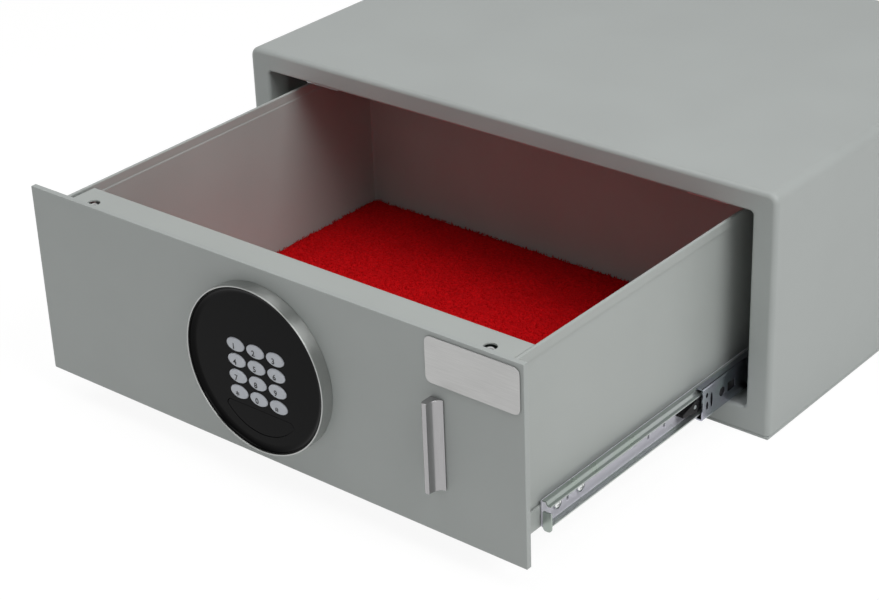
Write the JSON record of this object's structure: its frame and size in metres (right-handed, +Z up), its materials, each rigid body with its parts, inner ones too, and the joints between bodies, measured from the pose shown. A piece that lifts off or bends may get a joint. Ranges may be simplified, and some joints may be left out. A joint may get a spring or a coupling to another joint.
{
  "type": "under-desk drawer safe",
  "caption": "Flat steel safe for under a desk: a drawer on ball-bearing runners with a round keypad lock, lifting bolts, a pull handle and a carpet mat.",
  "frame": {"origin": "middle of the casing's underside, halfway between its front face and its back", "axes": "+X to the right as seen from the front, +Y from the front towards the back, so the drawer opens towards -Y, +Z up"},
  "size_m": [0.484, 0.6253, 0.19],
  "materials": {
    "casing_paint": "fine-textured light grey powder coat",
    "drawer_paint": "fine-textured light grey powder coat",
    "panel_paint": "fine-textured mid grey powder coat",
    "zinc_steel": "bright zinc plate, rolled and pressed",
    "bright_steel": "bright turned steel",
    "satin_chrome": "satin chrome with a bright front edge",
    "black_gloss": "glossy black moulding",
    "black_plastic": "matt black moulding",
    "key_grey": "light grey satin moulding with small dark figures",
    "satin_aluminium": "satin, fine straight brushing",
    "red_carpet": "short-pile red needle felt",
    "grey_rubber": "matt silicone",
    "green_board": "lacquered board",
    "cell_wrap": "smooth film wrap"
  },
  "bodies": {
    "casing": {"casing_shell": "casing_paint", "casing_base": "casing_paint", "casing_back": "casing_paint", "bolt_keeper_right": "zinc_steel", "bolt_keeper_left": "zinc_steel", "runner_bracket_right": "zinc_steel", "runner_bracket_left": "zinc_steel", "cabinet_rail_right": "zinc_steel", "cabinet_rail_left": "zinc_steel"},
    "outer_cages": {"outer_ball_cage_right": "zinc_steel", "outer_ball_cage_left": "zinc_steel"},
    "middle_rails": {"middle_rail_right": "zinc_steel", "middle_rail_left": "zinc_steel"},
    "inner_cages": {"inner_ball_cage_right": "zinc_steel", "inner_ball_cage_left": "zinc_steel"},
    "drawer": {"drawer_tray": "drawer_paint", "drawer_base": "drawer_paint", "drawer_mat": "red_carpet", "lock_channel": "drawer_paint", "front_panel": "panel_paint", "lock_ring": "satin_chrome", "keypad_face": "black_gloss", "key_membrane": "grey_rubber", "circuit_board": "green_board", "battery_holder": "black_plastic", "battery_1": "cell_wrap", "battery_2": "cell_wrap", "battery_3": "cell_wrap", "drive_motor": "bright_steel", "motor_bracket": "zinc_steel", "handle": "satin_aluminium", "handle_screw_1": "bright_steel", "handle_screw_2": "bright_steel", "label_plate": "satin_aluminium", "drawer_rail_right": "zinc_steel", "drawer_rail_left": "zinc_steel", "rail_screw_right_1": "bright_steel", "rail_screw_right_2": "bright_steel", "rail_screw_left_1": "bright_steel", "rail_screw_left_2": "bright_steel"},
    "bolt_bar": {"bolt_bar": "zinc_steel", "bolt_right": "bright_steel", "bolt_left": "bright_steel"},
    "lead_screw": {"lead_screw": "bright_steel"},
    "battery_cover": {"battery_cover": "black_gloss"},
    "release_lever_right": {"release_lever_right": "black_plastic"},
    "release_lever_left": {"release_lever_left": "black_plastic"},
    "key_1": {"key_1": "key_grey"},
    "key_2": {"key_2": "key_grey"},
    "key_3": {"key_3": "key_grey"},
    "key_4": {"key_4": "key_grey"},
    "key_5": {"key_5": "key_grey"},
    "key_6": {"key_6": "key_grey"},
    "key_7": {"key_7": "key_grey"},
    "key_8": {"key_8": "key_grey"},
    "key_9": {"key_9": "key_grey"},
    "key_star": {"key_star": "key_grey"},
    "key_0": {"key_0": "key_grey"},
    "key_hash": {"key_hash": "key_grey"}
  },
  "joints": [
    {"name": "middle_slide", "type": "slide", "parent": "casing", "child": "middle_rails", "axis": [0, -1, 0], "range_m": [-0.0785, 0.052]},
    {"name": "drawer_slide", "type": "slide", "parent": "middle_rails", "child": "drawer", "axis": [0, -1, 0], "range_m": [-0.1715, 0]},
    {"name": "outer_cage_slide", "type": "slide", "parent": "casing", "child": "outer_cages", "axis": [0, -1, 0], "range_m": [-0.0393, 0.0261]},
    {"name": "inner_cage_slide", "type": "slide", "parent": "middle_rails", "child": "inner_cages", "axis": [0, -1, 0], "range_m": [-0.0858, 0]},
    {"name": "bolt_lift", "type": "slide", "parent": "drawer", "child": "bolt_bar", "axis": [0, 0, 1], "range_m": [0, 0.012]},
    {"name": "lead_screw_turn", "type": "hinge", "parent": "drawer", "child": "lead_screw", "pos_m": [0, -0.4115, 0.13], "axis": [0, 0, 1], "range_deg": [0, 865]},
    {"name": "battery_cover_pull", "type": "slide", "parent": "drawer", "child": "battery_cover", "axis": [0, -1, 0], "range_m": [0, 0.012]},
    {"name": "release_lever_right_press", "type": "hinge", "parent": "drawer", "child": "release_lever_right", "pos_m": [0.207, -0.227, 0.0378], "axis": [1, 0, 0], "range_deg": [0, 8], "stiffness_Nm_per_rad": 0.05, "springref_deg": -2.86},
    {"name": "release_lever_left_press", "type": "hinge", "parent": "drawer", "child": "release_lever_left", "pos_m": [-0.207, -0.227, 0.0378], "axis": [1, 0, 0], "range_deg": [0, 8], "stiffness_Nm_per_rad": 0.05, "springref_deg": -2.86},
    {"name": "key_1_press", "type": "slide", "parent": "drawer", "child": "key_1", "axis": [0, 1, 0], "range_m": [0, 0.001], "stiffness_N_per_m": 300},
    {"name": "key_2_press", "type": "slide", "parent": "drawer", "child": "key_2", "axis": [0, 1, 0], "range_m": [0, 0.001], "stiffness_N_per_m": 300},
    {"name": "key_3_press", "type": "slide", "parent": "drawer", "child": "key_3", "axis": [0, 1, 0], "range_m": [0, 0.001], "stiffness_N_per_m": 300},
    {"name": "key_4_press", "type": "slide", "parent": "drawer", "child": "key_4", "axis": [0, 1, 0], "range_m": [0, 0.001], "stiffness_N_per_m": 300},
    {"name": "key_5_press", "type": "slide", "parent": "drawer", "child": "key_5", "axis": [0, 1, 0], "range_m": [0, 0.001], "stiffness_N_per_m": 300},
    {"name": "key_6_press", "type": "slide", "parent": "drawer", "child": "key_6", "axis": [0, 1, 0], "range_m": [0, 0.001], "stiffness_N_per_m": 300},
    {"name": "key_7_press", "type": "slide", "parent": "drawer", "child": "key_7", "axis": [0, 1, 0], "range_m": [0, 0.001], "stiffness_N_per_m": 300},
    {"name": "key_8_press", "type": "slide", "parent": "drawer", "child": "key_8", "axis": [0, 1, 0], "range_m": [0, 0.001], "stiffness_N_per_m": 300},
    {"name": "key_9_press", "type": "slide", "parent": "drawer", "child": "key_9", "axis": [0, 1, 0], "range_m": [0, 0.001], "stiffness_N_per_m": 300},
    {"name": "key_star_press", "type": "slide", "parent": "drawer", "child": "key_star", "axis": [0, 1, 0], "range_m": [0, 0.001], "stiffness_N_per_m": 300},
    {"name": "key_0_press", "type": "slide", "parent": "drawer", "child": "key_0", "axis": [0, 1, 0], "range_m": [0, 0.001], "stiffness_N_per_m": 300},
    {"name": "key_hash_press", "type": "slide", "parent": "drawer", "child": "key_hash", "axis": [0, 1, 0], "range_m": [0, 0.001], "stiffness_N_per_m": 300}
  ],
  "couplings": [
    {"joint": "outer_cage_slide", "follows": "middle_slide", "ratio": 0.5},
    {"joint": "inner_cage_slide", "follows": "drawer_slide", "ratio": 0.5},
    {"joint": "lead_screw_turn", "follows": "bolt_lift", "rad_per_m": 1256.6}
  ]
}
